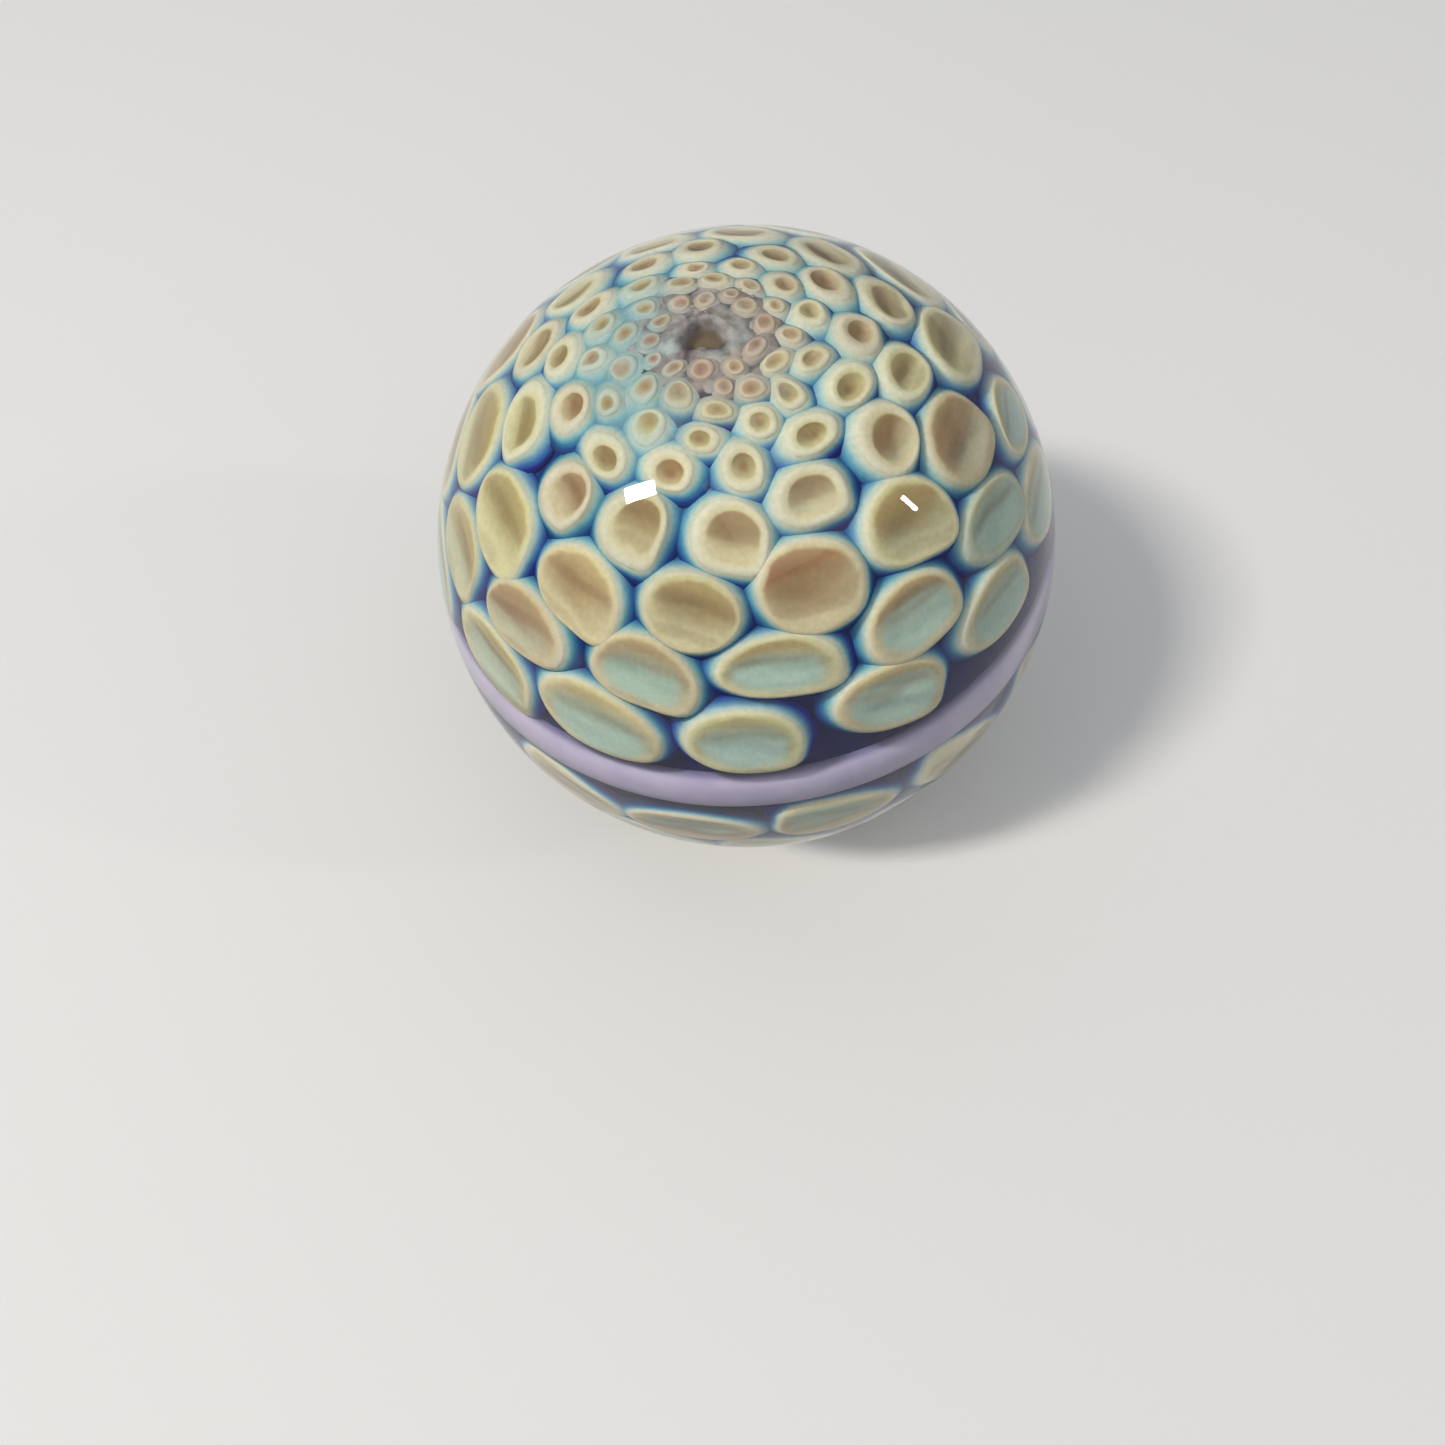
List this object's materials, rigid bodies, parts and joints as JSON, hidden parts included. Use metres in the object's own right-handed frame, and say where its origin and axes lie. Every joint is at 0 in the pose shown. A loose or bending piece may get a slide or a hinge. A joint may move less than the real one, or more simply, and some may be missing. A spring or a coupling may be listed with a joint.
{
  "type": "glass marble",
  "caption": "Clear-cased lampworked glass marble: honeycombs of cream cups with blue collars and amber eyes over a cobalt ground, parted by a lavender band.",
  "frame": {"origin": "centre of the ball", "axes": "+Z along the axis of the equator band, towards the pole with the clear window; azimuth is counted from +X towards +Y"},
  "size_m": [0.045, 0.045, 0.045],
  "materials": {
    "clear_glass": "flame-polished clear",
    "cobalt_glass": "deep opaque cobalt",
    "veil_glass": "smoky grey with white wisps",
    "lavender_glass": "smooth opaque lavender",
    "sky_glass": "sky blue that fades into the ground",
    "cream_glass": "opaque cream with pleats",
    "amber_glass": "fumed olive to amber brown"
  },
  "bodies": {
    "root": {"clear_casing": "clear_glass", "cobalt_ground": "cobalt_glass", "pole_veil": "veil_glass", "equator_band": "lavender_glass", "sky_collars": "sky_glass", "cream_cups": "cream_glass", "amber_eyes": "amber_glass"}
  },
  "joints": []
}
